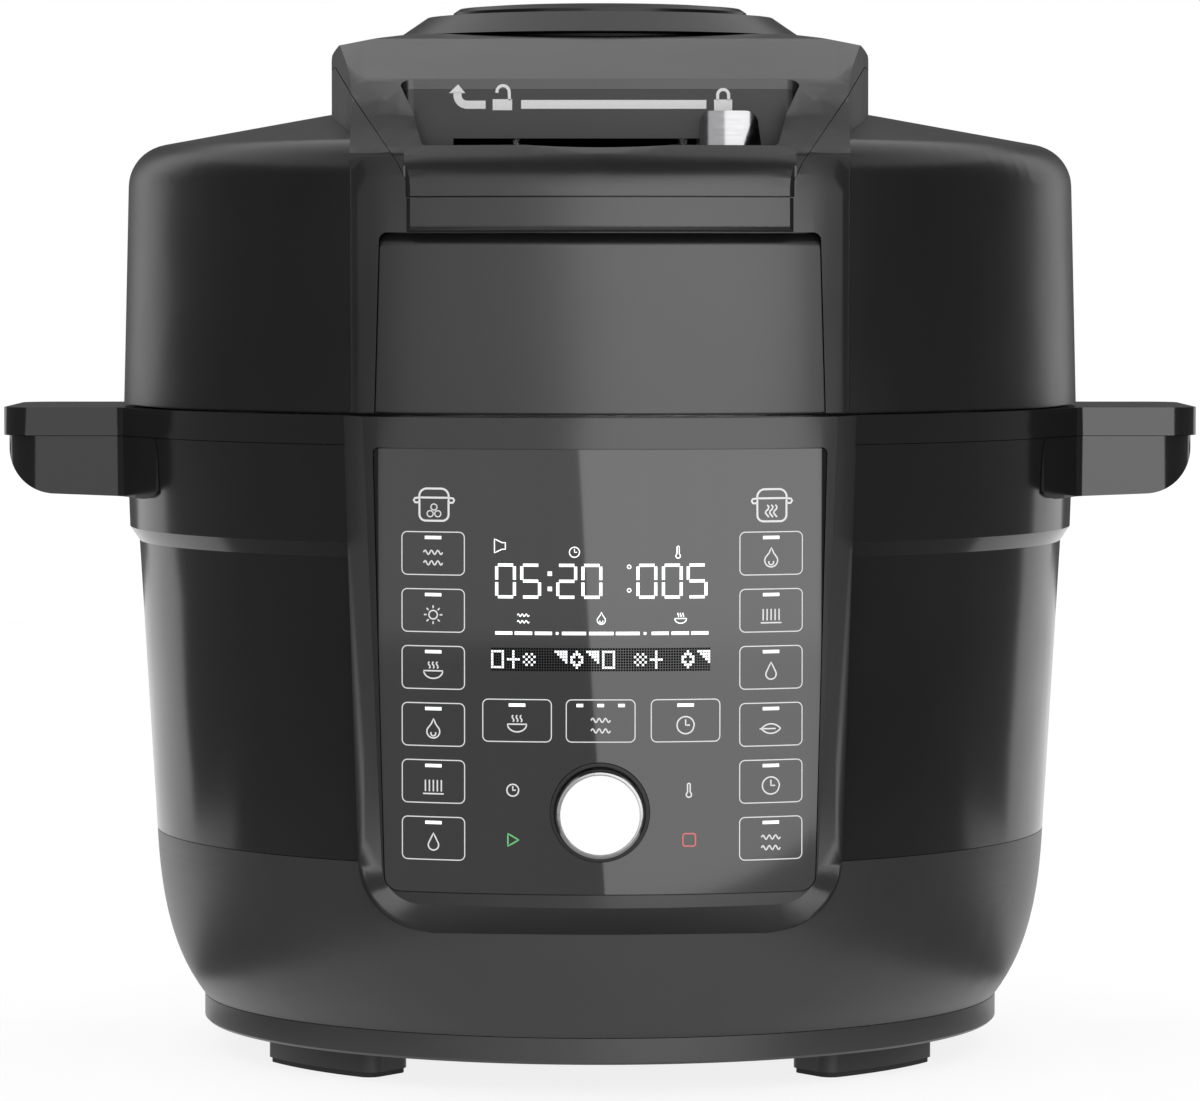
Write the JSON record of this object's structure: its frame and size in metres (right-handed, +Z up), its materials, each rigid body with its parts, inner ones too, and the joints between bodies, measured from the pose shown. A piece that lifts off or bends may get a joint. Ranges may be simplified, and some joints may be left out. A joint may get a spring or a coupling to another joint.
{
  "type": "electric pressure cooker",
  "caption": "Round electric pressure cooker with side handles, curved touch panel, dial, hinged air-fry lid and sliding lid lock.",
  "frame": {"origin": "centre of the footprint on the surface the feet stand on, under the centre of the body", "axes": "+Z up, the control panel faces -Y, +X across the handles to the user's right"},
  "size_m": [0.3856, 0.345, 0.3395],
  "materials": {
    "base_plastic": "fine matte texture",
    "body_plastic": "satin",
    "fascia_plastic": "satin",
    "control_glass": "printed glass, glossy",
    "lid_plastic": "satin",
    "band_plastic": "satin",
    "gloss_black": "polished",
    "chrome": "satin chrome",
    "dial_white": "satin white",
    "foot_rubber": "matte",
    "stainless": "brushed",
    "aluminium": "cast",
    "steel": "turned",
    "element_steel": "heat-darkened",
    "silicone": "translucent silicone",
    "inner_plastic": "moulded",
    "clear_plastic": "clear plastic",
    "circuit_board": "solder mask"
  },
  "bodies": {
    "base": {"base_moulding": "base_plastic", "bottom_plate": "base_plastic", "bottom_screws": "steel", "control_glass": "control_glass", "cup_rails": "inner_plastic", "dial_trim_ring": "gloss_black", "display_board": "circuit_board", "feet": "inner_plastic", "foot_pads": "foot_rubber", "front_fascia": "fascia_plastic", "handle_grip_left": "body_plastic", "handle_grip_right": "body_plastic", "heat_shield": "aluminium", "heater_plate": "aluminium", "hinge_bracket": "lid_plastic", "hinge_pin": "steel", "inner_pot": "stainless", "locking_flange": "stainless", "outer_shell": "body_plastic", "power_board": "circuit_board", "power_inlet": "inner_plastic", "rim_collar": "body_plastic", "sensor_bracket": "steel", "sensor_spring": "steel", "thermal_fuse": "steel"},
    "dial_press": {"encoder_shaft": "steel"},
    "dial": {"dial_knob": "chrome", "dial_cap": "dial_white"},
    "sensor": {"sensor_cap": "steel"},
    "cup": {"condensation_cup": "clear_plastic"},
    "lid": {"lid_hinge_arm": "lid_plastic", "lid_shell": "lid_plastic", "lid_band": "band_plastic", "lid_front_panel": "band_plastic", "hood_cover": "band_plastic", "hood_trim": "band_plastic", "recess_tray": "gloss_black", "top_disc": "band_plastic", "vent_cap": "gloss_black", "steam_cup": "inner_plastic", "lid_chassis": "inner_plastic", "lid_screws": "steel", "inner_lid": "stainless", "sealing_ring": "silicone", "fan_guard": "stainless", "heating_element": "element_steel", "fan_motor": "aluminium", "motor_bracket": "steel", "valve_seat": "aluminium", "float_sleeve": "aluminium", "ring_guides": "inner_plastic"},
    "slider": {"slider_knob": "chrome", "slider_carriage": "inner_plastic"},
    "lock": {"lock_ring": "stainless"},
    "fan": {"fan_impeller": "aluminium", "fan_shaft": "steel"},
    "weight": {"steam_weight": "aluminium"},
    "float": {"float_valve": "steel"}
  },
  "joints": [
    {"name": "lid_hinge", "type": "hinge", "parent": "base", "child": "lid", "pos_m": [0, 0.166, 0.216], "axis": [-1, 0, 0], "range_deg": [0, 85]},
    {"name": "lock_slide", "type": "slide", "parent": "lid", "child": "slider", "axis": [-1, 0, 0], "range_m": [0, 0.074]},
    {"name": "lock_turn", "type": "hinge", "parent": "lid", "child": "lock", "pos_m": [0, 0, 0.214], "axis": [0, 0, -1], "range_deg": [-0.2, 31.6]},
    {"name": "dial_push", "type": "slide", "parent": "base", "child": "dial_press", "axis": [0, 1, 0], "range_m": [0, 0.001], "stiffness_N_per_m": 600},
    {"name": "dial_turn", "type": "hinge", "parent": "dial_press", "child": "dial", "pos_m": [0, -0.165, 0.0901], "axis": [0, -1, 0], "continuous": true},
    {"name": "fan_spin", "type": "hinge", "parent": "lid", "child": "fan", "pos_m": [0, 0, 0.23], "axis": [0, 0, 1], "continuous": true},
    {"name": "steam_weight_lift", "type": "slide", "parent": "lid", "child": "weight", "axis": [0, 0, 1], "range_m": [0, 0.003]},
    {"name": "float_rise", "type": "slide", "parent": "lid", "child": "float", "axis": [0, 0, 1], "range_m": [0, 0.004]},
    {"name": "sensor_press", "type": "slide", "parent": "base", "child": "sensor", "axis": [0, 0, -1], "range_m": [0, 0.003], "stiffness_N_per_m": 800, "deforming": ["sensor_spring"]},
    {"name": "cup_pull", "type": "slide", "parent": "base", "child": "cup", "axis": [0, 1, 0], "range_m": [0, 0.04]}
  ],
  "couplings": [
    {"joint": "lock_turn", "follows": "lock_slide", "rad_per_m": 7.38}
  ]
}
